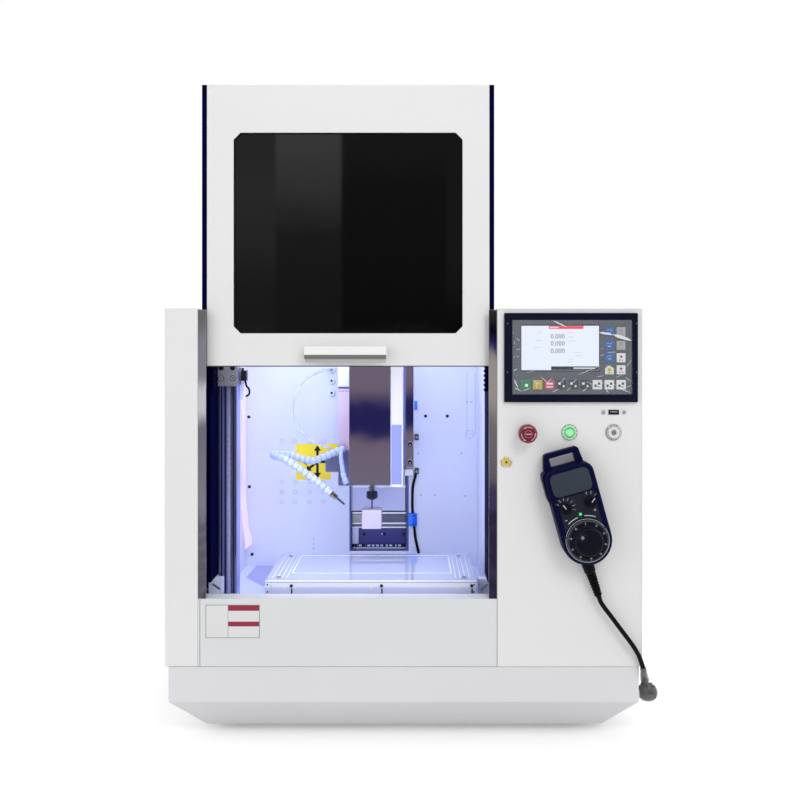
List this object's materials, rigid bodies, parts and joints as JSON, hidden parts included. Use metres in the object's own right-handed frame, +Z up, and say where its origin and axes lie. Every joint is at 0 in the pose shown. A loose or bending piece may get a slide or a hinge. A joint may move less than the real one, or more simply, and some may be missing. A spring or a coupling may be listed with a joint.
{
  "type": "benchtop cnc milling machine",
  "caption": "Enclosed desktop milling machine with a vertically lifting window door, lit work chamber, moving table and spindle head, control column and hand-wheel pendant.",
  "frame": {"origin": "centre of the footprint on the surface that the rubber feet stand on", "axes": "+Z up, +Y from the door towards the back, +X to the right seen from the front"},
  "size_m": [0.7115, 0.526, 0.955],
  "materials": {
    "cabinet_paint": "fine-textured light grey-white powder coat",
    "liner_paint": "smooth white powder coat",
    "mirror_steel": "mirror-polished stainless steel",
    "black_profile": "black anodised",
    "aluminium": "drawn and lightly brushed",
    "ground_steel": "ground",
    "cast_iron": "painted casting",
    "tinted_pane": "dark tinted acrylic",
    "clear_sheet": "clear acrylic",
    "led_diffuser": "lit cold-white diffuser",
    "motor_black": "satin black",
    "tool_steel": "blackened steel",
    "foam_white": "soft white foam",
    "hose_plastic": "pale blue-white, glossy",
    "clear_tube": "clear polyurethane",
    "black_rubber": "matt",
    "psu_metal": "bare sheet",
    "case_black": "satin black",
    "screen_glass": "lit white display",
    "chrome_ring": "polished",
    "button_red": "dark red, glossy",
    "button_green": "lit green lens",
    "button_white": "glossy white",
    "button_yellow": "glossy yellow",
    "pendant_black": "moulded, satin blue-black",
    "plug_grey": "grey, wrapped in clear film"
  },
  "bodies": {
    "cabinet": {"base_plinth": "cabinet_paint", "rubber_feet": "black_rubber", "cabinet_shell": "cabinet_paint", "control_panel": "cabinet_paint", "rear_cover": "cabinet_paint", "front_fascia": "cabinet_paint", "mirror_trim": "mirror_steel", "chamber_floor": "liner_paint", "chamber_back": "liner_paint", "chamber_sides": "liner_paint", "door_channels": "black_profile", "light_bar": "led_diffuser", "lift_profile": "aluminium", "machine_bed": "cast_iron", "linear_rails": "ground_steel", "z_column": "cast_iron", "axis_motors": "motor_black", "screw_bearings": "motor_black", "head_cable": "black_rubber", "power_supply": "psu_metal", "driver_box": "motor_black", "controller_case": "case_black", "controller_screen": "screen_glass", "usb_socket": "chrome_ring", "panel_rings": "chrome_ring", "pendant_body": "pendant_black", "pendant_relief": "black_rubber", "pendant_cord": "black_rubber", "pendant_plug": "plug_grey", "plug_socket": "chrome_ring"},
    "door": {"lift_carriage": "aluminium", "door_frame": "cabinet_paint", "door_window": "tinted_pane", "door_rails": "black_profile", "door_pull": "cabinet_paint"},
    "lift_screw": {"lift_screw": "ground_steel"},
    "saddle": {"saddle": "aluminium", "x_drive": "motor_black"},
    "x_screw": {"x_screw": "ground_steel"},
    "y_screw": {"y_screw": "ground_steel"},
    "z_screw": {"z_screw": "ground_steel"},
    "table": {"table_plate": "liner_paint", "table_sheet": "clear_sheet"},
    "head": {"head_frame": "aluminium", "spindle_motor": "aluminium", "spindle_cover": "mirror_steel", "head_box": "liner_paint", "coolant_manifold": "aluminium", "coolant_hose": "hose_plastic", "air_tube": "clear_tube"},
    "spindle": {"spindle_nose": "tool_steel", "tip_guard": "foam_white"},
    "estop": {"estop_button": "button_red"},
    "start_button": {"green_button": "button_green"},
    "reset_button": {"white_button": "button_white"},
    "light_button": {"yellow_button": "button_yellow"},
    "pendant_wheel": {"pendant_wheel": "pendant_black"},
    "axis_knob": {"pendant_axis_knob": "pendant_black"},
    "step_knob": {"pendant_step_knob": "pendant_black"},
    "enable_button": {"pendant_enable": "pendant_black"}
  },
  "joints": [
    {"name": "door_slide", "type": "slide", "parent": "cabinet", "child": "door", "axis": [0, 0, 1], "range_m": [-0.33, 0]},
    {"name": "lift_screw_spin", "type": "hinge", "parent": "cabinet", "child": "lift_screw", "pos_m": [-0.27, -0.129, 0.312], "axis": [0, 0, 1], "range_deg": [-11881, 1]},
    {"name": "y_slide", "type": "slide", "parent": "cabinet", "child": "saddle", "axis": [0, 1, 0], "range_m": [0, 0.1]},
    {"name": "y_screw_spin", "type": "hinge", "parent": "cabinet", "child": "y_screw", "pos_m": [-0.049, -0.067, 0.152], "axis": [0, 1, 0], "range_deg": [-1, 3601]},
    {"name": "x_slide", "type": "slide", "parent": "saddle", "child": "table", "axis": [1, 0, 0], "range_m": [-0.04, 0.004]},
    {"name": "x_screw_spin", "type": "hinge", "parent": "saddle", "child": "x_screw", "pos_m": [-0.065, -0.099, 0.196], "axis": [1, 0, 0], "range_deg": [-1441, 361]},
    {"name": "z_slide", "type": "slide", "parent": "cabinet", "child": "head", "axis": [0, 0, 1], "range_m": [-0.05, 0.05]},
    {"name": "z_screw_spin", "type": "hinge", "parent": "cabinet", "child": "z_screw", "pos_m": [-0.049, 0.121, 0.412], "axis": [0, 0, 1], "range_deg": [-1801, 1801]},
    {"name": "spindle_spin", "type": "hinge", "parent": "head", "child": "spindle", "pos_m": [-0.053, -0.052, 0.332], "axis": [0, 0, -1], "continuous": true},
    {"name": "estop_press", "type": "slide", "parent": "cabinet", "child": "estop", "axis": [0, 1, 0], "range_m": [0, 0.005], "stiffness_N_per_m": 800},
    {"name": "start_press", "type": "slide", "parent": "cabinet", "child": "start_button", "axis": [0, 1, 0], "range_m": [0, 0.003], "stiffness_N_per_m": 400},
    {"name": "reset_press", "type": "slide", "parent": "cabinet", "child": "reset_button", "axis": [0, 1, 0], "range_m": [0, 0.003], "stiffness_N_per_m": 400},
    {"name": "light_press", "type": "slide", "parent": "cabinet", "child": "light_button", "axis": [0, 1, 0], "range_m": [0, 0.002], "stiffness_N_per_m": 300},
    {"name": "wheel_turn", "type": "hinge", "parent": "cabinet", "child": "pendant_wheel", "pos_m": [0.2575, -0.255, 0.304], "axis": [0, -1, 0], "continuous": true},
    {"name": "axis_knob_turn", "type": "hinge", "parent": "cabinet", "child": "axis_knob", "pos_m": [0.22626, -0.252, 0.3493], "axis": [0, -1, 0], "range_deg": [-138.5, 27.7]},
    {"name": "step_knob_turn", "type": "hinge", "parent": "cabinet", "child": "step_knob", "pos_m": [0.26095, -0.252, 0.35892], "axis": [0, -1, 0], "range_deg": [0, 60]},
    {"name": "enable_press", "type": "slide", "parent": "cabinet", "child": "enable_button", "axis": [0.9636, 0, 0.2672], "range_m": [0, 0.002], "stiffness_N_per_m": 400}
  ],
  "couplings": [
    {"joint": "lift_screw_spin", "follows": "door_slide", "rad_per_m": 628.32},
    {"joint": "y_screw_spin", "follows": "y_slide", "rad_per_m": 628.32},
    {"joint": "x_screw_spin", "follows": "x_slide", "rad_per_m": 628.32},
    {"joint": "z_screw_spin", "follows": "z_slide", "rad_per_m": 628.32}
  ]
}
